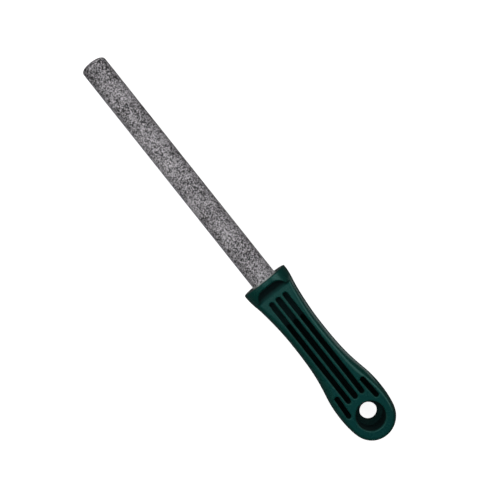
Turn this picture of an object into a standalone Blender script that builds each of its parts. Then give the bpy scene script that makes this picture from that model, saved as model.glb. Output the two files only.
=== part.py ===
"""Knife sharpening steel: a grit-coated round rod bonded into a one-piece moulded handle.

Frame: +X along the rod to its tip, +Z up out of the cored face of the handle, the rod's axis in the
plane y = 0. The origin is under the middle of the object, at the lowest point of the handle's collar.
All lengths are metres.
"""

import math

import bmesh
import bpy

MM = 0.001
GAP = 0.3 * MM                  # left between pieces that touch on the real object

# Rod
ROD_EXPOSED = 152.0 * MM        # tip to the collar's front face, a 6 inch rod
ROD_RADIUS = 7.5 * MM           # over the grit
TIP_ROUNDING = 1.7 * MM
COAT_THICKNESS = 0.7 * MM
TANG_RADIUS = 3.0 * MM
TANG_END = 25.2 * MM            # behind the collar's front face
TANG_GROOVES = (9.0 * MM, 14.0 * MM, 19.0 * MM)
GROOVE_WIDTH = 1.2 * MM
GROOVE_DEPTH = 0.5 * MM
CHAMFER = 0.5 * MM

# Handle, turned in outline and then flatted
HANDLE_LENGTH = 108.6 * MM
COLLAR_RADIUS = 13.85 * MM
COLLAR_EDGE = 0.6 * MM          # rounding of the collar's front edge
FLAT_HALF = 6.9 * MM            # half the thickness between the two flats
STEP_START = 3.1 * MM           # where the collar's rear step begins, behind the front face
STEP_FILLET = 5.6 * MM
END_DEPTH = 13.1 * MM           # half axes of the rounded hanging end
END_RADIUS = 13.6 * MM
END_JOIN = 98.5 * MM            # where the side outline runs into the rounded end

# Side outline as stations: distance behind the front face, radius, slope of the radius
OUTLINE = (
    (2.0 * MM, COLLAR_RADIUS, 0.0),
    (14.0 * MM, 12.05 * MM, -0.135),
    (38.0 * MM, 10.25 * MM, 0.0),
    (60.0 * MM, 11.2 * MM, 0.12),
    (72.0 * MM, 13.32 * MM, 0.215),
    (84.0 * MM, 14.66 * MM, 0.02),
    (END_JOIN, 13.28 * MM, -0.243),
)

# Coring, all from the upper face
BACK_WEB = 3.25 * MM            # wall left under the deep coring
SLOT_WIDTH = 2.9 * MM
MIDDLE_SLOT_WIDTH = 3.2 * MM
SLOT_PITCH = 4.62 * MM
LONG_SLOT = (11.5 * MM, 81.2 * MM)
SHALLOW_FLOOR = 4.2 * MM        # slot floor above the rod's axis, over the socket
DEEP_START = 27.0 * MM          # where the long slots drop to the back web
SHORT_SLOT = (73.7 * MM, 87.6 * MM)
SHORT_SLOT_SIDE = (8.75 * MM, 9.68 * MM)

# Hanging hole
HOLE_CENTRE = 93.5 * MM
HOLE_MOUTH = 8.25 * MM
HOLE_LEDGE = 8.0 * MM
HOLE_BORE = 4.9 * MM

# Seat and socket for the rod
SEAT_RADIUS = 8.6 * MM
SEAT_DEPTH = 4.0 * MM
SOCKET_RADIUS = TANG_RADIUS + GAP
SOCKET_END = TANG_END + GAP
BEAD_HEIGHT = 0.6 * MM          # adhesive standing proud of the collar's front face

# Derived places
AXIS_Z = COLLAR_RADIUS
TOTAL_LENGTH = ROD_EXPOSED + HANDLE_LENGTH
COLLAR_X = HANDLE_LENGTH - TOTAL_LENGTH / 2
TOP_Z = AXIS_Z + FLAT_HALF
BOTTOM_Z = AXIS_Z - FLAT_HALF
DEEP_FLOOR_Z = BOTTOM_Z + BACK_WEB
CLEAR = 10.0 * MM               # how far cutters run past what they cut

# Round pieces have this many sides. A side, not a corner, faces each way along Y and Z, so the
# collar lies on one and doesn't roll. The sides touch the true circle from outside.
SIDES = 32
HALF_SIDE_SLOPE = math.tan(math.pi / SIDES)
CURVE_STEPS = 5


def clear_scene():
    for item in list(bpy.data.objects):
        bpy.data.objects.remove(item, do_unlink=True)


def make_material(name, colour, roughness, metallic):
    material = bpy.data.materials.new(name)
    material.use_nodes = True
    shader = material.node_tree.nodes["Principled BSDF"]
    shader.inputs["Base Color"].default_value = (*colour, 1.0)
    shader.inputs["Roughness"].default_value = roughness
    shader.inputs["Metallic"].default_value = metallic
    return material


def behind(distance):
    """X of a place this far behind the collar's front face."""
    return COLLAR_X - distance


def mesh_object(name, bm, material=None, sharp_angle=math.radians(35)):
    bmesh.ops.recalc_face_normals(bm, faces=bm.faces)
    mesh = bpy.data.meshes.new(name)
    bm.to_mesh(mesh)
    bm.free()
    mesh.shade_smooth()
    mesh.set_sharp_from_angle(angle=sharp_angle)
    item = bpy.data.objects.new(name, mesh)
    bpy.context.scene.collection.objects.link(item)
    if material:
        mesh.materials.append(material)
    return item


def as_cutter(item):
    item.hide_render = True
    item.display_type = "WIRE"
    return item


def cut(target, cutter):
    modifier = target.modifiers.new(cutter.name, "BOOLEAN")
    modifier.operation = "DIFFERENCE"
    modifier.solver = "EXACT"
    modifier.object = as_cutter(cutter)


def turned(name, profile, material=None):
    """Solid of revolution about the rod's axis. A profile point is (x, radius)."""
    bm = bmesh.new()
    points = [bm.verts.new((x, radius * HALF_SIDE_SLOPE, AXIS_Z + radius)) for x, radius in profile]
    edges = [bm.edges.new(pair) for pair in zip(points, points[1:])]
    if profile[0][1] > 0:
        edges.append(bm.edges.new((points[-1], points[0])))
    bmesh.ops.spin(
        bm,
        geom=points + edges,
        cent=(0.0, 0.0, AXIS_Z),
        axis=(1.0, 0.0, 0.0),
        angle=2 * math.pi,
        steps=SIDES,
        use_merge=True,
    )
    bmesh.ops.remove_doubles(bm, verts=bm.verts, dist=0.001 * MM)
    return mesh_object(name, bm, material)


def prisms(name, outlines, low, high, low_scale=1.0):
    """Upright prisms over plan outlines. low_scale narrows the foot of each about its middle."""
    bm = bmesh.new()
    for outline in outlines:
        middle_x = sum(x for x, _ in outline) / len(outline)
        middle_y = sum(y for _, y in outline) / len(outline)
        foot = [
            bm.verts.new((middle_x + (x - middle_x) * low_scale, middle_y + (y - middle_y) * low_scale, low))
            for x, y in outline
        ]
        head = [bm.verts.new((x, y, high)) for x, y in outline]
        bm.faces.new(foot)
        bm.faces.new(head)
        for index in range(len(outline)):
            after = (index + 1) % len(outline)
            bm.faces.new((foot[index], foot[after], head[after], head[index]))
    return mesh_object(name, bm)


def arc(centre, radii, start, end, steps):
    """Points of an elliptical arc, both ends included."""
    angles = [start + (end - start) * step / steps for step in range(steps + 1)]
    return [(centre[0] + radii[0] * math.cos(a), centre[1] + radii[1] * math.sin(a)) for a in angles]


def circle(centre, radius, steps=40):
    return arc(centre, (radius, radius), 0.0, 2 * math.pi, steps)[:-1]


def capsule(start, end, width, steps=6):
    """Plan outline of a round-ended slot whose two tips are start and end."""
    radius = width / 2
    heading = math.atan2(end[1] - start[1], end[0] - start[0])
    along = (math.cos(heading) * radius, math.sin(heading) * radius)
    first = (start[0] + along[0], start[1] + along[1])
    last = (end[0] - along[0], end[1] - along[1])
    quarter = math.pi / 2
    return arc(first, (radius, radius), heading + quarter, heading + 3 * quarter, steps) + arc(
        last, (radius, radius), heading - quarter, heading + quarter, steps
    )


def side_radius(distance):
    """Radius of the handle's side outline between its first and last stations."""
    for (start, r0, slope0), (end, r1, slope1) in zip(OUTLINE, OUTLINE[1:]):
        if distance <= end:
            break
    span = end - start
    u = (distance - start) / span
    return (
        r0 * (2 * u**3 - 3 * u**2 + 1)
        + span * slope0 * (u**3 - 2 * u**2 + u)
        + r1 * (3 * u**2 - 2 * u**3)
        + span * slope1 * (u**3 - u**2)
    )


def handle_profile():
    """Half outline of the handle from the axis at the front face to the axis at the hanging end."""
    edge = (COLLAR_EDGE, COLLAR_RADIUS - COLLAR_EDGE - 0.1 * MM)
    front = [(0.0, 0.0)] + arc(edge, (COLLAR_EDGE, COLLAR_EDGE), math.pi, math.pi / 2, 4)
    sides = []
    for (start, _, _), (end, _, _) in zip(OUTLINE, OUTLINE[1:]):
        for step in range(CURVE_STEPS):
            distance = start + (end - start) * step / CURVE_STEPS
            sides.append((distance, side_radius(distance)))
    centre = HANDLE_LENGTH - END_DEPTH
    join = math.acos((END_JOIN - centre) / END_DEPTH)
    end_arc = arc((centre, 0.0), (END_DEPTH, END_RADIUS), join, 0.0, 10)
    end_arc[-1] = (HANDLE_LENGTH, 0.0)
    return [(behind(distance), radius) for distance, radius in front + sides + end_arc]


def flat_cutter(name, side):
    """Slab with a round-filleted end that leaves the collar standing above one flat.

    side is +1 for the upper flat and -1 for the lower one.
    """
    fillet_centre = (behind(STEP_START + STEP_FILLET), FLAT_HALF + STEP_FILLET)
    outline = arc(fillet_centre, (STEP_FILLET, STEP_FILLET), 0.0, -math.pi / 2, 7)
    outline += [
        (behind(HANDLE_LENGTH + CLEAR), FLAT_HALF),
        (behind(HANDLE_LENGTH + CLEAR), FLAT_HALF + CLEAR),
        (behind(STEP_START), FLAT_HALF + CLEAR),
    ]
    bm = bmesh.new()
    reach = COLLAR_RADIUS + CLEAR
    near, far = (
        [bm.verts.new((x, y, AXIS_Z + side * height)) for x, height in outline] for y in (-reach, reach)
    )
    bm.faces.new(near)
    bm.faces.new(far)
    for index in range(len(outline)):
        after = (index + 1) % len(outline)
        bm.faces.new((near[index], near[after], far[after], far[index]))
    return mesh_object(name, bm)


def long_slots(start, end):
    """Plan outlines of the three long slots between two distances behind the front face."""
    return [
        capsule((behind(start), row * SLOT_PITCH), (behind(end), row * SLOT_PITCH), width)
        for row, width in ((-1, SLOT_WIDTH), (0, MIDDLE_SLOT_WIDTH), (1, SLOT_WIDTH))
    ]


def short_slots():
    """Plan outlines of the two short slots, which lean out towards the hanging end."""
    return [
        capsule(
            (behind(SHORT_SLOT[0]), side * SHORT_SLOT_SIDE[0]),
            (behind(SHORT_SLOT[1]), side * SHORT_SLOT_SIDE[1]),
            SLOT_WIDTH,
        )
        for side in (-1, 1)
    ]


def build_handle(material):
    handle = turned("handle", handle_profile(), material)
    cut(handle, flat_cutter("upper_flat_cutter", 1))
    cut(handle, flat_cutter("lower_flat_cutter", -1))

    hole = (behind(HOLE_CENTRE), 0.0)
    above = TOP_Z + CLEAR
    cut(handle, prisms("shallow_slot_cutter", long_slots(*LONG_SLOT), AXIS_Z + SHALLOW_FLOOR, above))
    deep = long_slots(DEEP_START, LONG_SLOT[1]) + short_slots()
    cut(handle, prisms("deep_slot_cutter", deep, DEEP_FLOOR_Z, above))
    mouth = [circle(hole, HOLE_MOUTH)]
    cut(handle, prisms("counterbore_cutter", mouth, DEEP_FLOOR_Z, TOP_Z + 0.1 * MM, HOLE_LEDGE / HOLE_MOUTH))
    bore = [circle(hole, HOLE_BORE, 32)]
    cut(handle, prisms("hanging_bore_cutter", bore, BOTTOM_Z - CLEAR, above))

    socket = [
        (behind(-CLEAR), 0.0),
        (behind(-CLEAR), SEAT_RADIUS),
        (behind(SEAT_DEPTH), SEAT_RADIUS),
        (behind(SEAT_DEPTH), SOCKET_RADIUS),
        (behind(SOCKET_END), SOCKET_RADIUS),
        (behind(SOCKET_END), 0.0),
    ]
    cut(handle, turned("socket_cutter", socket))
    return handle


def build_abrasive_coat(material):
    """Closed-ended tube of bonded grit, from just inside the seat to the rod's tip."""
    tip = behind(-ROD_EXPOSED)
    inner = ROD_RADIUS - COAT_THICKNESS
    foot = behind(SEAT_DEPTH - GAP)
    corner = (tip - TIP_ROUNDING, ROD_RADIUS - TIP_ROUNDING)
    outside = arc(corner, (TIP_ROUNDING, TIP_ROUNDING), 0.0, math.pi / 2, 5)
    inner_corner = (tip - COAT_THICKNESS - CHAMFER, inner - CHAMFER)
    inside = [
        (foot, ROD_RADIUS),
        (foot, inner),
        (inner_corner[0], inner),
        (tip - COAT_THICKNESS, inner_corner[1]),
        (tip - COAT_THICKNESS, 0.0),
    ]
    return turned("abrasive_coat", [(tip, 0.0)] + outside + inside, material)


def build_rod_core(material):
    """Steel bar under the grit, turned down behind its shoulder to a grooved tang."""
    radius = ROD_RADIUS - COAT_THICKNESS - GAP
    front = behind(-ROD_EXPOSED) - COAT_THICKNESS - GAP
    shoulder = behind(SEAT_DEPTH - GAP)
    tang_end = behind(TANG_END)
    profile = [(front, 0.0), (front, radius - 2 * CHAMFER), (front - 2 * CHAMFER, radius), (shoulder, radius)]
    profile.append((shoulder, TANG_RADIUS))
    for groove in TANG_GROOVES:
        near = behind(groove)
        far = near - GROOVE_WIDTH
        root = TANG_RADIUS - GROOVE_DEPTH
        profile += [(near, TANG_RADIUS), (near, root), (far, root), (far, TANG_RADIUS)]
    profile += [(tang_end + CHAMFER, TANG_RADIUS), (tang_end, TANG_RADIUS - CHAMFER), (tang_end, 0.0)]
    return turned("rod_core", profile, material)


def build_bond_ring(material):
    """Adhesive that fills the seat round the rod's foot and stands proud as a rounded bead."""
    inner = ROD_RADIUS + GAP
    outer = SEAT_RADIUS - GAP
    half_width = (outer - inner) / 2
    bead = arc((behind(-BEAD_HEIGHT + half_width), inner + half_width), (half_width, half_width), -math.pi / 2,
               math.pi / 2, 4)
    foot = behind(SEAT_DEPTH - GAP)
    return turned("bond_ring", bead + [(foot, outer), (foot, inner)], material)


def main():
    clear_scene()
    assembly = bpy.data.objects.new("sharpening_steel", None)
    bpy.context.scene.collection.objects.link(assembly)
    parts = (
        build_handle(make_material("green_plastic", (0.008, 0.06, 0.052), 0.3, 0.0)),
        build_abrasive_coat(make_material("grey_grit", (0.24, 0.235, 0.24), 0.75, 0.1)),
        build_rod_core(make_material("plain_steel", (0.55, 0.55, 0.56), 0.35, 1.0)),
        build_bond_ring(make_material("cured_adhesive", (0.45, 0.4, 0.3), 0.25, 0.0)),
    )
    for part in parts:
        part.parent = assembly


main()
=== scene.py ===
import math

import bpy
import numpy as np
from mathutils import Matrix, Vector, noise


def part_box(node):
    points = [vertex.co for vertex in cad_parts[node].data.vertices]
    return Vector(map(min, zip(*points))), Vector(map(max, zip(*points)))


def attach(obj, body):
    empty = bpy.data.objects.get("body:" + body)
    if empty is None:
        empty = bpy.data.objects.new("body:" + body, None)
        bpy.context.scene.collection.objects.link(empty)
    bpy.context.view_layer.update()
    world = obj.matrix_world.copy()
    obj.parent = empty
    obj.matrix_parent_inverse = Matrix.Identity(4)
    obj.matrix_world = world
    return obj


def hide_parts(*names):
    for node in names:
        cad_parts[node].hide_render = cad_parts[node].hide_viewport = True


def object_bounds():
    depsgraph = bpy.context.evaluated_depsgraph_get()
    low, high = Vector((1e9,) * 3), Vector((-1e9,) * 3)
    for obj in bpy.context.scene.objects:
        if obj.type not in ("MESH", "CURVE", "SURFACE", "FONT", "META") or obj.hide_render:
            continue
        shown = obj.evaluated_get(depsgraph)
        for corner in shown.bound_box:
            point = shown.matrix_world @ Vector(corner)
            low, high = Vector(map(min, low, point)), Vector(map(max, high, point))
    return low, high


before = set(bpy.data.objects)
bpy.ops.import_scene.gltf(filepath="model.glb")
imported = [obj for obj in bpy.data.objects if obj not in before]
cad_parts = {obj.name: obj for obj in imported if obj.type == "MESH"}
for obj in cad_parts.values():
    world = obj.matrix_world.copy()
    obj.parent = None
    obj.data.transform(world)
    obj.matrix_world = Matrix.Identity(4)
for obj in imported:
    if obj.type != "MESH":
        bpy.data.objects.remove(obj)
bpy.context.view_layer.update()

MM = 0.001

# ---------------------------------------------------------------------------
# The frame: the rod runs along +X, +Z comes up out of the handle's cored face
# ---------------------------------------------------------------------------

handle_low, handle_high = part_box("handle")
coat_low, coat_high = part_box("abrasive_coat")
ring_low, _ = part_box("bond_ring")

# Where the collar's front face and the rod's axis are, in metres
COLLAR_X = handle_high.x
AXIS_Z = (handle_low.z + handle_high.z) / 2
# From here on the object's lengths are in millimetres
COLLAR_RADIUS = (handle_high.z - handle_low.z) / 2 / MM
HANDLE_LENGTH = (handle_high.x - handle_low.x) / MM
ROD_RADIUS = (coat_high.z - coat_low.z) / 2 / MM
ROD_EXPOSED = (coat_high.x - COLLAR_X) / MM

# ---------------------------------------------------------------------------
# Handle: s is the distance behind the collar's front face, y across, z above the rod's axis
# ---------------------------------------------------------------------------

COLLAR_EDGE = 0.6
# Height of either flat above or below the rod's axis
FLAT_HALF = 6.9
FLAT_EDGE = 1.0
# The collar's step starts nearest the front in the middle and arches back to each side
STEP_START = 3.1
STEP_END = 9.2
STEP_ARCH = 31.0
STEP_ARCH_POWER = 4.5
STEP_LEAST_FILLET = 1.0
# The hanging end is part of an ellipsoid, which takes over from the side outline at END_JOIN
END_DEPTH = 13.1
END_RADIUS = 13.6
END_JOIN = 98.5
END_CENTRE = HANDLE_LENGTH - END_DEPTH

# Side outline as stations, joined by smooth curves: s, radius, slope of the radius
OUTLINE = (
    (2.0, COLLAR_RADIUS, 0.0),
    (14.0, 12.05, -0.135),
    (38.0, 10.25, 0.0),
    (60.0, 11.2, 0.12),
    (72.0, 13.32, 0.215),
    (84.0, 14.66, 0.02),
    (END_JOIN, 13.28, -0.243),
)

# The bulge is flatter than round where it swells: how much, where, and over what length
FLATTENING = 0.33
FLATTENED_AT = 73.0
FLATTENED_OVER = 12.0

# The slots are shallow over the rod's socket and deep behind it
SHALLOW_FLOOR = 4.2
DEEP_FLOOR = -3.65
DEEP_START = 27.0
SLOT_WIDTH = 2.9
MIDDLE_SLOT_WIDTH = 3.2
SLOT_PITCH = 4.62
SLOT_DRAFT = 0.02
SLOT_RIM = 0.45
SLOT_FLOOR_FILLET = 0.6
# Where each kind of slot begins and ends, and how far across the short ones lie at either end
LONG_SLOT = (11.5, 81.2)
SHORT_SLOT = (73.7, 87.6)
SHORT_SLOT_SIDE = (8.75, 9.68)

# The hanging hole is wide down to a ledge and narrow below it; the widths are radii
HOLE_CENTRE = 93.5
HOLE_MOUTH = 8.25
HOLE_LEDGE = 8.0
HOLE_BORE = 4.9
HOLE_RIM = 0.7
LEDGE_FILLET = 0.7
BORE_RIM = 0.4

# The rod's coated end sits in the seat and its tang in the socket
SEAT_RADIUS = 8.6
SEAT_DEPTH = 4.0
SEAT_RIM = 0.3
SOCKET_RADIUS = 3.3
SOCKET_END = 25.5

# Size of the cells that the handle's surface is drawn in, and how many rounds even out its mesh
CELL = 0.42
RELAX_ROUNDS = 4

# Depths between which the surface turns from the polished outside to the dull inside of recesses, which is
# also darkened there with painted shade; the hole's ledge gets a little less of it
PAINTED_SHADE_STARTS = 0.4
PAINTED_SHADE_FULL = 1.6
LEDGE_PAINTED_SHADE = 0.85
# How much of the step, from its foot up, goes from polished to dull and to full painted shade
STEP_PAINTED_SHADE = 0.45
# How far outside the flat's cut a point still belongs to its step
STEP_REACH = 0.3


def overlap_round(a, b, radius):
    """Distance to the overlap of two shapes whose shared edge is rounded to this radius."""
    corner = np.hypot(np.maximum(a + radius, 0), np.maximum(b + radius, 0))
    return np.minimum(np.maximum(a, b), -radius) + corner


def remove_round(shape, tool, radius):
    """Distance to the shape with the tool cut away, the new edge rounded to this radius."""
    return overlap_round(shape, -tool, radius)


def side_radius(s):
    """Radius of the handle's side outline and its slope, clamped to the first and last stations."""
    s = np.clip(s, OUTLINE[0][0], OUTLINE[-1][0])
    radius = np.zeros_like(s)
    slope = np.zeros_like(s)
    for (start, r0, m0), (end, r1, m1) in zip(OUTLINE, OUTLINE[1:]):
        here = (s >= start) & (s <= end)
        span = end - start
        u = (s[here] - start) / span
        radius[here] = (
            r0 * (2 * u**3 - 3 * u**2 + 1)
            + span * m0 * (u**3 - 2 * u**2 + u)
            + r1 * (3 * u**2 - 2 * u**3)
            + span * m1 * (u**3 - u**2)
        )
        slope[here] = (
            (r0 - r1) * (6 * u**2 - 6 * u) / span + m0 * (3 * u**2 - 4 * u + 1) + m1 * (3 * u**2 - 2 * u)
        )
    return radius, slope


def turned_body(s, y, z):
    """Distance to the handle before it is flatted: turned sides, a rounded end and a flat front."""
    squash = 1 + FLATTENING * np.exp(-(((s - FLATTENED_AT) / FLATTENED_OVER) ** 2))
    r = np.hypot(y, z * squash)
    radius, slope = side_radius(s)
    side = (r - radius) / np.sqrt(1 + slope**2)
    ahead = s - END_CENTRE
    level = np.sqrt((ahead / END_DEPTH) ** 2 + (r / END_RADIUS) ** 2)
    steepness = np.sqrt((ahead / END_DEPTH**2) ** 2 + (r / END_RADIUS**2) ** 2)
    rounded_end = (level - 1) * level / np.maximum(steepness, 1e-6)
    body = np.where(s > END_JOIN, rounded_end, side)
    return overlap_round(body, -s, COLLAR_EDGE)


def step_wall(y):
    """How far back the collar's step stands at this distance across."""
    arch = STEP_START + STEP_ARCH * (np.abs(y) / COLLAR_RADIUS) ** STEP_ARCH_POWER
    return np.minimum(arch, STEP_END - STEP_LEAST_FILLET)


def flat_tool(s, y, height):
    """What is cut away over one flat, behind the collar's filleted step."""
    wall = step_wall(y)
    return overlap_round(FLAT_HALF - height, wall - s, STEP_END - wall)


def slot_tool(s, y, z, start, end, floor, width):
    """What is cut away for one round-ended slot. start and end are its tips as (s, y)."""
    start, end = np.array(start), np.array(end)
    length = np.linalg.norm(end - start)
    along = (end - start) / length
    ds, dy = s - start[0], y - start[1]
    reach = np.clip(ds * along[0] + dy * along[1], width / 2, length - width / 2)
    away = np.hypot(ds - reach * along[0], dy - reach * along[1])
    half_width = width / 2 - SLOT_DRAFT * (FLAT_HALF - z)
    return overlap_round(away - half_width, floor - z, SLOT_FLOOR_FILLET)


def outer_field(s, y, z):
    """Distance to the flatted body before anything is cored out of it."""
    body = turned_body(s, y, z)
    for side in (1, -1):
        body = remove_round(body, flat_tool(s, y, side * z), FLAT_EDGE)
    return body


def handle_field(p):
    """Signed distance to the moulded handle, negative inside."""
    s, y, z = p[..., 0], p[..., 1], p[..., 2]
    body = outer_field(s, y, z)

    slots = []
    for row, width in ((-1, SLOT_WIDTH), (0, MIDDLE_SLOT_WIDTH), (1, SLOT_WIDTH)):
        across = row * SLOT_PITCH
        for start, floor in ((LONG_SLOT[0], SHALLOW_FLOOR), (DEEP_START, DEEP_FLOOR)):
            slots.append(slot_tool(s, y, z, (start, across), (LONG_SLOT[1], across), floor, width))
    for side in (-1, 1):
        near, far = side * SHORT_SLOT_SIDE[0], side * SHORT_SLOT_SIDE[1]
        slots.append(slot_tool(s, y, z, (SHORT_SLOT[0], near), (SHORT_SLOT[1], far), DEEP_FLOOR, SLOT_WIDTH))
    body = remove_round(body, np.minimum.reduce(slots), SLOT_RIM)

    from_hole = np.hypot(s - HOLE_CENTRE, y)
    taper = (HOLE_MOUTH - HOLE_LEDGE) / (FLAT_HALF - DEEP_FLOOR)
    counterbore_radius = HOLE_LEDGE + (z - DEEP_FLOOR) * taper
    counterbore = overlap_round(from_hole - counterbore_radius, DEEP_FLOOR - z, LEDGE_FILLET)
    body = remove_round(body, counterbore, HOLE_RIM)
    body = remove_round(body, from_hole - HOLE_BORE, BORE_RIM)

    r = np.hypot(y, z)
    body = remove_round(body, np.maximum(r - SEAT_RADIUS, s - SEAT_DEPTH), SEAT_RIM)
    return np.maximum(body, -np.maximum(r - SOCKET_RADIUS, s - SOCKET_END))


# ---------------------------------------------------------------------------
# Surfaces from a signed distance
# ---------------------------------------------------------------------------


def surface_net(field, low, high, cell):
    """Vertices and quads of the surface where field is zero.

    Each cell that the surface crosses gets one vertex, and each grid edge that it crosses gets one quad
    between the four cells around that edge.
    """
    axes = [np.arange(low[a], high[a] + cell, cell) for a in range(3)]
    grid = np.stack(np.meshgrid(*axes, indexing="ij"), axis=-1)
    value = field(grid)
    shape = value.shape
    totals = np.zeros((value.size, 3))
    counts = np.zeros(value.size)
    quads = []
    for a in range(3):
        b, c = (a + 1) % 3, (a + 2) % 3
        ahead = [slice(None)] * 3
        behind = [slice(None)] * 3
        behind[a], ahead[a] = slice(None, -1), slice(1, None)
        first, second = value[tuple(behind)], value[tuple(ahead)]
        index = np.argwhere((first < 0) != (second < 0))
        f0, f1 = first[tuple(index.T)], second[tuple(index.T)]
        point = np.array(low) + index * cell
        point[:, a] += f0 / (f0 - f1) * cell
        corners = []
        for step_b, step_c in ((-1, -1), (0, -1), (0, 0), (-1, 0)):
            home = index.copy()
            home[:, b] += step_b
            home[:, c] += step_c
            flat = np.ravel_multi_index(home.T, shape)
            np.add.at(totals, flat, point)
            np.add.at(counts, flat, 1)
            corners.append(flat)
        quad = np.stack(corners, axis=1)
        turn = f0 >= 0
        quad[turn] = quad[turn][:, ::-1]
        quads.append(quad)
    cells, faces = np.unique(np.concatenate(quads), return_inverse=True)
    return totals[cells] / counts[cells, None], faces.reshape(-1, 4)


def gradient(field, points, step=0.01):
    """How steeply the field rises along each axis at each point."""
    slopes = []
    for a in range(3):
        shift = np.zeros(3)
        shift[a] = step
        slopes.append((field(points + shift) - field(points - shift)) / (2 * step))
    return np.stack(slopes, axis=1)


def settle(field, points, cell, rounds=3):
    """Moves the points onto the surface along its normal, never far in one round."""
    least_steepness = 0.05
    furthest = 0.4 * cell
    for _ in range(rounds):
        slope = gradient(field, points)
        scale = np.maximum((slope**2).sum(axis=1), least_steepness)
        move = -(field(points) / scale)[:, None] * slope
        length = np.linalg.norm(move, axis=1, keepdims=True)
        points = points + move * np.minimum(1, furthest / np.maximum(length, 1e-9))
    return points


def relax(field, points, faces, cell, rounds):
    """Evens out the mesh: each point goes halfway to its neighbours' middle, then back to the surface."""
    ends = np.concatenate([faces[:, [i, (i + 1) % 4]] for i in range(4)])
    for _ in range(rounds):
        total = np.zeros_like(points)
        np.add.at(total, ends[:, 0], points[ends[:, 1]])
        np.add.at(total, ends[:, 1], points[ends[:, 0]])
        count = np.bincount(ends.ravel(), minlength=len(points))[:, None]
        points = settle(field, points + 0.5 * (total / count - points), cell, 1)
    return settle(field, points, cell)


# ---------------------------------------------------------------------------
# Meshes
# ---------------------------------------------------------------------------


def mesh_piece(name, points, faces, normals=None):
    """A smooth-shaded mesh object. normals, one for each point, overrule the mesh's own."""
    mesh = bpy.data.meshes.new(name)
    mesh.from_pydata(np.asarray(points).tolist(), [], [list(map(int, face)) for face in faces])
    mesh.validate()
    mesh.shade_smooth()
    if normals is not None:
        mesh.normals_split_custom_set_from_vertices(np.asarray(normals).tolist())
    piece = bpy.data.objects.new(name, mesh)
    bpy.context.scene.collection.objects.link(piece)
    return piece


def stand_in(piece, node):
    """piece shows in place of a CAD node, which is hidden; piece goes on the root body."""
    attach(piece, "root")
    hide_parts(node)


def handle_to_world(points):
    """Turns the handle's (s, y, z) in millimetres into places in metres."""
    s, y, z = points.T * MM
    return np.stack([COLLAR_X - s, y, AXIS_Z + z], axis=1)


def painted_shade_in_recesses(points):
    """How much painted shade and dullness each point gets: 0 on the outside of the handle, 1 inside its
    recesses, rising up the collar's step, and between the two on the hole's ledge.
    """
    s, y, z = points[:, 0], points[:, 1], points[:, 2]
    depth = -outer_field(s, y, z)
    shade = np.clip((depth - PAINTED_SHADE_STARTS) / (PAINTED_SHADE_FULL - PAINTED_SHADE_STARTS), 0, 1)
    # Painted shade on the collar's step, full near its top edge and fading out at its foot
    step_shade = np.clip((STEP_END - s) / (STEP_END - STEP_START) / STEP_PAINTED_SHADE, 0, 1)
    on_step = (z > FLAT_HALF) & (s > step_wall(y)) & (flat_tool(s, y, z) > -STEP_REACH)
    shade = np.where(on_step, step_shade, shade)
    # Slightly less painted shade on the hole's ledge
    on_ledge = (np.hypot(s - HOLE_CENTRE, y) < HOLE_LEDGE - LEDGE_FILLET / 2) & (z > DEEP_FLOOR - BORE_RIM)
    return np.where(on_ledge, LEDGE_PAINTED_SHADE, shade)


def build_handle():
    """The moulding, drawn in a grid of cells that reaches a little past it on every side."""
    margin = 1.0
    widest = COLLAR_RADIUS + 1.5
    low = (-margin, -widest, -COLLAR_RADIUS - margin)
    high = (HANDLE_LENGTH + margin, widest, COLLAR_RADIUS + margin)
    points, faces = surface_net(handle_field, low, high, CELL)
    points = relax(handle_field, settle(handle_field, points, CELL), faces, CELL, RELAX_ROUNDS)
    normals = gradient(handle_field, points)
    normals /= np.maximum(np.linalg.norm(normals, axis=1, keepdims=True), 1e-9)
    # x runs against s, which mirrors the surface, so the faces are turned over to point out again
    normals[:, 0] *= -1
    piece = mesh_piece("handle_moulding", handle_to_world(points), faces[:, ::-1], normals)
    # Painted shade: a value at each point that darkens the plastic inside the slots and the hole and on the
    # collar's step
    layer = piece.data.attributes.new("recess_painted_shade", "FLOAT", "POINT")
    layer.data.foreach_set("value", painted_shade_in_recesses(points))
    stand_in(piece, "handle")
    return piece


# ---------------------------------------------------------------------------
# Rod: a closed-ended tube with a grained outside
# ---------------------------------------------------------------------------

COAT_THICKNESS = 0.7
TIP_ROUNDING = 1.7
# Points around the rod and the distance between them along it
GRIT_AROUND = 144
GRIT_STEP = 0.33
GRAIN_SIZE = 0.62
FINE_GRAIN_SIZE = 0.35 * GRAIN_SIZE
# How far the grains stand up and which of their heights, from 0 to 1, lies on the rod's plain radius
GRAIN_RELIEF = 0.13
GRAIN_LEVEL = 0.4
# How far from a grain's middle its mound ends, in grains, and how much of the height is fine noise
MOUND_REACH = 0.6
FINE_SHARE = 0.3


def rod_profile():
    """Outline of the coat from the tip's centre to its foot in the seat.

    Each place is given as the distance before the collar and the radius.
    """
    corner = (ROD_EXPOSED - TIP_ROUNDING, ROD_RADIUS - TIP_ROUNDING)
    across = np.arange(GRIT_STEP, corner[1], GRIT_STEP)
    face = [(ROD_EXPOSED, radius) for radius in across]
    steps = math.ceil(TIP_ROUNDING * math.pi / 2 / GRIT_STEP)
    angles = [math.pi / 2 * step / steps for step in range(steps + 1)]
    bend = [(corner[0] + TIP_ROUNDING * math.cos(a), corner[1] + TIP_ROUNDING * math.sin(a)) for a in angles]
    foot = (coat_low.x - COLLAR_X) / MM
    length = corner[0] - foot
    side_steps = math.ceil(length / GRIT_STEP)
    side = [(corner[0] - length * step / side_steps, ROD_RADIUS) for step in range(1, side_steps + 1)]
    return face + bend + side


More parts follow.
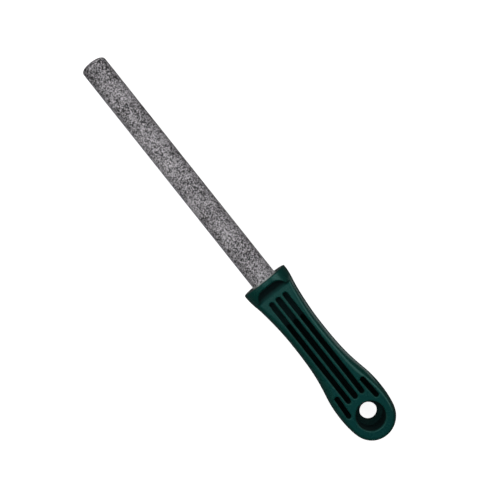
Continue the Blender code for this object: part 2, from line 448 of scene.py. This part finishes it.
def grain(point):
    """Height and tone of the abrasive at a point in millimetres: packed grains of uneven size."""
    spots, centres = noise.voronoi(point / GRAIN_SIZE)
    mound = 1 - min(spots[0] / MOUND_REACH, 1.0)
    tone = noise.cell(centres[0] * 7.31)
    fine = noise.noise(point / FINE_GRAIN_SIZE)
    return (1 - FINE_SHARE) * mound * (0.6 + 0.4 * tone) + FINE_SHARE * fine, tone


def build_coat():
    """Rings of points from the tip's centre down the grained outside, then back up the smooth inside."""
    points, faces, tones = [], [], []
    outside = rod_profile()
    plain_tone = 0.5

    def place(along, radius, angle):
        return Vector((along, radius * math.cos(angle), radius * math.sin(angle)))

    def add_ring(along, radius, outward=None):
        for step in range(GRIT_AROUND):
            angle = 2 * math.pi * step / GRIT_AROUND
            point = place(along, radius, angle)
            tone = plain_tone
            if outward is not None:
                height, tone = grain(point)
                normal = place(outward[0], outward[1], angle)
                point += normal * (height - GRAIN_LEVEL) * GRAIN_RELIEF
            points.append(point)
            tones.append(tone)

    def bridge(first, second):
        for step in range(GRIT_AROUND):
            after = (step + 1) % GRIT_AROUND
            faces.append((first + step, first + after, second + after, second + step))

    def cap(centre, ring, flip):
        for step in range(GRIT_AROUND):
            pair = (ring + step, ring + (step + 1) % GRIT_AROUND)
            faces.append((centre, pair[1], pair[0]) if flip else (centre, pair[0], pair[1]))

    points.append(Vector((ROD_EXPOSED, 0, 0)))
    tones.append(plain_tone)
    for along, radius in outside:
        corner_x = max(along - (ROD_EXPOSED - TIP_ROUNDING), 0)
        corner_r = max(radius - (ROD_RADIUS - TIP_ROUNDING), 0)
        outward = Vector((corner_x, corner_r)).normalized()
        add_ring(along, radius, outward)
    inner = ROD_RADIUS - COAT_THICKNESS
    foot = outside[-1][0]
    floor = ROD_EXPOSED - COAT_THICKNESS
    for along, radius in ((foot, inner), (floor, inner)):
        add_ring(along, radius)
    rings = len(outside) + 2
    cap(0, 1, False)
    for ring in range(rings - 1):
        bridge(1 + (ring + 1) * GRIT_AROUND, 1 + ring * GRIT_AROUND)
    points.append(Vector((floor, 0, 0)))
    tones.append(plain_tone)
    cap(len(points) - 1, 1 + (rings - 1) * GRIT_AROUND, True)

    world = [(COLLAR_X + p.x * MM, p.y * MM, AXIS_Z + p.z * MM) for p in points]
    piece = mesh_piece("grit_coat", world, faces)
    layer = piece.data.attributes.new("grain_tone", "FLOAT", "POINT")
    layer.data.foreach_set("value", tones)
    stand_in(piece, "abrasive_coat")
    return piece


# ---------------------------------------------------------------------------
# Adhesive: a ring in the seat with an uneven bead at its mouth
# ---------------------------------------------------------------------------

# Points around the rod and over the top of the bead
BEAD_AROUND = 180
BEAD_CROWN = 9
BEAD_INNER = 7.62
BEAD_OUTER = 8.05
# How far its outer edge wanders, its full height, and the least share of that height
BEAD_SPREAD = 0.25
BEAD_HEIGHT = 0.75
BEAD_LEAST = 0.3


def bead_section(angle):
    """Outline of the adhesive at this angle round the rod, as (distance before the collar, radius)."""
    depth = (COLLAR_X - ring_low.x) / MM
    # A circle through the noise, so that the bead closes on itself
    around = Vector((math.cos(angle) * 2.2, math.sin(angle) * 2.2, 0.3))
    swell = 0.6 + 0.7 * noise.noise(around) + 0.25 * noise.noise(around * 3.1)
    height = BEAD_HEIGHT * max(swell, BEAD_LEAST)
    outer = BEAD_OUTER + BEAD_SPREAD * noise.noise(around * 1.7 + Vector((9, 0, 0)))
    middle = (BEAD_INNER + outer) / 2
    half = (outer - BEAD_INNER) / 2
    bends = [math.pi * step / (BEAD_CROWN - 1) for step in range(BEAD_CROWN)]
    crown = [(height * math.sin(bend), middle - half * math.cos(bend)) for bend in bends]
    return [(-depth, BEAD_INNER), *crown, (-depth, outer)]


def build_bead():
    points, faces = [], []
    for step in range(BEAD_AROUND):
        angle = 2 * math.pi * step / BEAD_AROUND
        for along, radius in bead_section(angle):
            y, z = radius * math.cos(angle), radius * math.sin(angle)
            points.append((COLLAR_X + along * MM, y * MM, AXIS_Z + z * MM))
    section = BEAD_CROWN + 2
    for step in range(BEAD_AROUND):
        here = step * section
        there = (step + 1) % BEAD_AROUND * section
        for row in range(section):
            after = (row + 1) % section
            faces.append((here + row, there + row, there + after, here + after))
    piece = mesh_piece("adhesive_bead", points, faces)
    stand_in(piece, "bond_ring")
    return piece


# ---------------------------------------------------------------------------
# Materials
# ---------------------------------------------------------------------------


def colour(r, g, b):
    return (r, g, b, 1.0)


class Look:
    """A node material around one Principled shader, with short ways to add what drives it."""

    def __init__(self, name):
        self.material = bpy.data.materials.new(name)
        self.material.use_nodes = True
        self.nodes = self.material.node_tree.nodes
        self.links = self.material.node_tree.links
        self.shader = self.nodes["Principled BSDF"]
        self.place = self.add("ShaderNodeTexCoord").outputs["Object"]

    def add(self, kind, inputs=None, **settings):
        """A new node with these settings, each of its inputs a number, a colour or another node's output."""
        node = self.nodes.new(kind)
        for key, value in settings.items():
            setattr(node, key, value)
        for key, value in (inputs or {}).items():
            self.feed(value, node.inputs[key])
        return node

    def feed(self, value, socket):
        if isinstance(value, bpy.types.NodeSocket):
            self.links.new(value, socket)
        else:
            socket.default_value = value

    def set(self, **values):
        """Sets or links the shader's own inputs, their names written with underscores."""
        for key, value in values.items():
            self.feed(value, self.shader.inputs[key.replace("_", " ")])

    def stretch(self, scale):
        return self.add("ShaderNodeMapping", {"Vector": self.place, "Scale": scale}).outputs["Vector"]

    def noise(self, scale, detail=2.0, roughness=0.5, vector=None):
        inputs = {"Vector": vector or self.place, "Scale": scale, "Detail": detail, "Roughness": roughness}
        return self.add("ShaderNodeTexNoise", inputs).outputs["Fac"]

    def cells(self, scale, output):
        return self.add("ShaderNodeTexVoronoi", {"Vector": self.place, "Scale": scale}).outputs[output]

    def painted(self, name):
        """What is stored at the mesh's points under this name."""
        return self.add("ShaderNodeAttribute", attribute_name=name).outputs["Fac"]

    def ramp(self, value, *stops):
        """The value turned into a colour between the stops, each a position and a colour."""
        node = self.add("ShaderNodeValToRGB", {"Fac": value})
        ramp = node.color_ramp
        while len(ramp.elements) < len(stops):
            ramp.elements.new(0.5)
        for element, (position, stop) in zip(ramp.elements, stops):
            element.position = position
            element.color = colour(*stop)
        return node.outputs["Color"]

    def span(self, value, low, high, from_low=0.0, from_high=1.0):
        """The value, which runs between from_low and from_high, made to run between low and high."""
        inputs = {"Value": value, "From Min": from_low, "From Max": from_high, "To Min": low, "To Max": high}
        return self.add("ShaderNodeMapRange", inputs).outputs["Result"]

    def math(self, operation, a, b):
        return self.add("ShaderNodeMath", {0: a, 1: b}, operation=operation).outputs["Value"]

    def mix(self, factor, a, b):
        """A blend of two colours, whose sockets share their names with others and so go by number."""
        node = self.add("ShaderNodeMix", data_type="RGBA")
        self.feed(factor, node.inputs[0])
        self.feed(a, node.inputs[6])
        self.feed(b, node.inputs[7])
        return node.outputs[2]

    def bump(self, height, relief, strength=1.0, normal=None):
        """A normal bent as if the height stood up by this relief in millimetres."""
        inputs = {"Height": height, "Distance": relief * MM, "Strength": strength}
        if normal:
            inputs["Normal"] = normal
        return self.add("ShaderNodeBump", inputs).outputs["Normal"]


def plastic_look():
    """Deep green moulding: glossy outside with faint flow shading; inside its recesses dull and darkened to
    near black with painted shade.
    """
    look = Look("moulded_green_plastic")
    recess_painted_shade = look.painted("recess_painted_shade")
    flow = look.noise(45, 3, 0.55, look.stretch((0.6, 1.0, 1.0)))
    outside = look.ramp(flow, (0.3, (0.0022, 0.061, 0.0495)), (0.7, (0.003, 0.07, 0.057)))
    # Painted shade: the green turns near black inside the recesses, on the collar's step and, a little less,
    # on the hole's ledge
    base = look.mix(recess_painted_shade, outside, colour(0.0001, 0.003, 0.004))
    scuffs = look.noise(260, 4, 0.7)
    polish = look.math("ADD", look.span(scuffs, 0.22, 0.32, 0.35, 0.7), look.span(flow, -0.02, 0.02))
    rough = look.math("ADD", polish, look.math("MULTIPLY", recess_painted_shade, 0.6))
    look.set(Base_Color=base, Roughness=rough, IOR=1.5, Specular_Tint=colour(0.5, 1.0, 0.95))
    waves = look.bump(look.noise(130, 1, 0.4), 0.015)
    look.set(Normal=look.bump(look.noise(900, 2, 0.6), 0.006, 1.0, waves))
    return look.material


# How much of the grit's tone comes from the modelled grains, the rest from smaller ones
GRAIN_TONE_SHARE = 0.25
# Distances before the tip between which the grit turns darker
DARKER_FROM = 30
DARKER_BY = 12


def grit_look():
    """Bonded abrasive: grains of every grey from near black to white, a little darker towards the tip."""
    look = Look("bonded_grit")
    grain_tone = look.math("MULTIPLY", look.painted("grain_tone"), GRAIN_TONE_SHARE)
    small = look.add("ShaderNodeSeparateColor", {"Color": look.cells(2500, "Color")}).outputs["Red"]
    small_tone = look.math("MULTIPLY", small, 1 - GRAIN_TONE_SHARE)
    patches = look.span(look.noise(60, 3, 0.6), -0.1, 0.1, 0.3, 0.7)
    along = look.add("ShaderNodeSeparateXYZ", {"Vector": look.place}).outputs["X"]
    tip = coat_high.x
    tip_shade = look.span(along, 0.0, -0.1, tip - DARKER_FROM * MM, tip - DARKER_BY * MM)
    level = grain_tone
    for change in (small_tone, patches, tip_shade):
        level = look.math("ADD", level, change)
    base = look.ramp(
        level,
        (0.2, (0.03, 0.028, 0.03)),
        (0.35, (0.4, 0.38, 0.4)),
        (0.52, (0.9, 0.86, 0.9)),
        (0.75, (1.0, 0.955, 1.0)),
    )
    look.set(Base_Color=base, Roughness=look.span(small, 0.45, 0.8))
    facets = look.bump(look.cells(2400, "Distance"), 0.12, 0.8)
    look.set(Normal=look.bump(look.noise(5200, 2, 0.6), 0.03, 0.7, facets))
    return look.material


def adhesive_look():
    """Cured resin, pale and cloudy, with a glossy skin."""
    look = Look("cured_adhesive")
    cloud = look.noise(500, 3, 0.6)
    base = look.ramp(cloud, (0.3, (0.3, 0.33, 0.32)), (0.7, (0.8, 0.87, 0.85)))
    look.set(Base_Color=base, Roughness=look.span(cloud, 0.12, 0.3), IOR=1.52)
    look.set(Normal=look.bump(look.noise(900, 2, 0.5), 0.04))
    return look.material


def steel_look():
    """Turned steel: fine rings round the bar and a little oxide."""
    look = Look("turned_steel")
    rings = look.noise(400, 3, 0.6, look.stretch((12.0, 0.2, 0.2)))
    oxide = look.noise(90, 4, 0.6)
    base = look.ramp(oxide, (0.35, (0.42, 0.4, 0.38)), (0.65, (0.58, 0.58, 0.59)))
    look.set(Base_Color=base, Metallic=1.0, Roughness=look.span(rings, 0.25, 0.45))
    look.set(Normal=look.bump(rings, 0.01))
    return look.material


def floor_look():
    """Plain white that glows, so that it is evenly pale all over."""
    look = Look("pale_floor")
    look.set(Base_Color=colour(0.9, 0.9, 0.9), Roughness=0.9, Specular_IOR_Level=0.0)
    look.set(Emission_Color=colour(1, 1, 1), Emission_Strength=0.9)
    return look.material


def dress(piece, material):
    piece.data.materials.clear()
    piece.data.materials.append(material)


# ---------------------------------------------------------------------------
# Stage: floor, light and camera
# ---------------------------------------------------------------------------

# Camera, in millimetres, its height measured from the rod's axis
CAMERA_HEIGHT = 409
CAMERA_LENS = 53.3
SENSOR = 36
# Where the camera hangs and what its picture is centred on: before the collar, and towards -y
CAMERA_BEFORE_COLLAR = 28.3
CAMERA_ASIDE = 29.1
CENTRE_BEFORE_COLLAR = 17.85
CENTRE_ASIDE = 4.28
# How steeply the rod runs down across the picture
ROD_BELOW_LEVEL = math.radians(51.52)

# The floor's width in metres, and its distance under the object in millimetres
FLOOR_SIZE = 4.0
FLOOR_GAP = 0.05

# How bright the surroundings are as light on the object, where 1 is how white they look
AMBIENT = 0.06


def build_camera():
    """Looks straight down on the cored face, with the rod's tip up to the left."""
    data = bpy.data.cameras.new("camera")
    data.sensor_width = SENSOR
    data.lens = CAMERA_LENS
    camera = bpy.data.objects.new("camera", data)
    bpy.context.scene.collection.objects.link(camera)
    on_axis = Vector((COLLAR_X, 0, AXIS_Z))
    place = on_axis + Vector((CAMERA_BEFORE_COLLAR, -CAMERA_ASIDE, CAMERA_HEIGHT)) * MM
    centre = on_axis + Vector((CENTRE_BEFORE_COLLAR, -CENTRE_ASIDE, 0)) * MM
    back = Vector((0, 0, 1))
    right = Vector((-math.cos(ROD_BELOW_LEVEL), -math.sin(ROD_BELOW_LEVEL), 0))
    up = back.cross(right)
    turned = Matrix((right, up, back)).transposed().to_4x4()
    camera.matrix_world = Matrix.Translation(place) @ turned
    picture_width = CAMERA_HEIGHT * MM * SENSOR / CAMERA_LENS
    data.shift_x = (centre - place).dot(right) / picture_width
    data.shift_y = (centre - place).dot(up) / picture_width
    bpy.context.scene.camera = camera


def build_floor():
    """A floor just under the object, which is left out of its reflections and of the light on it."""
    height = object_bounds()[0].z - FLOOR_GAP * MM
    bpy.ops.mesh.primitive_plane_add(size=FLOOR_SIZE, location=(0, 0, height))
    floor = bpy.context.active_object
    floor.name = "floor"
    floor.visible_glossy = False
    floor.visible_diffuse = False
    dress(floor, floor_look())


def softbox(name, azimuth, from_zenith, size, radiance, gloss_only=False, tint=(1, 1, 1), distance=1.0):
    """A rectangular light that faces the object from this many metres away.

    azimuth is in degrees from +X, size is across and along the tilt, and radiance is how bright the light
    itself looks. A gloss_only light shows in reflections and lights nothing; any other does the opposite.
    """
    data = bpy.data.lights.new(name, "AREA")
    data.shape = "RECTANGLE"
    data.size, data.size_y = size
    data.energy = radiance * math.pi * data.size * data.size_y
    data.color = tint
    light = bpy.data.objects.new(name, data)
    bpy.context.scene.collection.objects.link(light)
    around, down = math.radians(azimuth), math.radians(from_zenith)
    towards = Vector((math.cos(around) * math.sin(down), math.sin(around) * math.sin(down), math.cos(down)))
    light.location = towards * distance
    light.rotation_mode = "QUATERNION"
    light.rotation_quaternion = towards.to_track_quat("Z", "Y")
    light.visible_glossy = gloss_only
    light.visible_diffuse = not gloss_only
    return light


def build_surroundings():
    """White where the camera sees past the floor, and only a little light on the object from all round."""
    world = bpy.data.worlds.new("studio")
    world.use_nodes = True
    nodes, links = world.node_tree.nodes, world.node_tree.links
    seen = nodes.new("ShaderNodeLightPath").outputs["Is Camera Ray"]
    strength = nodes.new("ShaderNodeMapRange")
    strength.inputs["To Min"].default_value = AMBIENT
    strength.inputs["To Max"].default_value = 1.0
    links.new(seen, strength.inputs["Value"])
    links.new(strength.outputs["Result"], nodes["Background"].inputs["Strength"])
    nodes["Background"].inputs["Color"].default_value = colour(1, 1, 1)
    bpy.context.scene.world = world


def build_light():
    """Two soft lights from above do the lighting; the others only draw the highlights."""
    softbox("key", -55, 40, (0.9, 0.8), 1.27)
    softbox("fill", 66, 38, (0.9, 0.7), 1.37)
    # Along both flanks, and on what leans towards the tip
    softbox("key_strip", -88, 52, (1.4, 0.62), 1.4, gloss_only=True)
    softbox("fill_strip", 62, 46, (0.8, 0.2), 1.1, gloss_only=True)
    softbox("tip_strip", 0, 58, (0.5, 0.3), 1.2, gloss_only=True)
    # On the flats
    softbox("ceiling", 0, 16, (0.6, 0.84), 1.1, gloss_only=True)
    # A small card low down beside the handle, for the edge of one flank
    softbox("floor_glow", -123, 119, (0.045, 0.1), 1.1, gloss_only=True, distance=0.23)
    # A faint bluish sheen on whatever leans towards the hanging end
    softbox("back_ceiling", 180, 22, (0.8, 0.5), 0.16, gloss_only=True, tint=(0.1, 0.45, 1.0))


# ---------------------------------------------------------------------------

build_camera()
dress(build_handle(), plastic_look())
dress(build_coat(), grit_look())
dress(build_bead(), adhesive_look())
dress(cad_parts["rod_core"], steel_look())
build_floor()
build_surroundings()
build_light()
bpy.context.scene.view_settings.view_transform = "Standard"
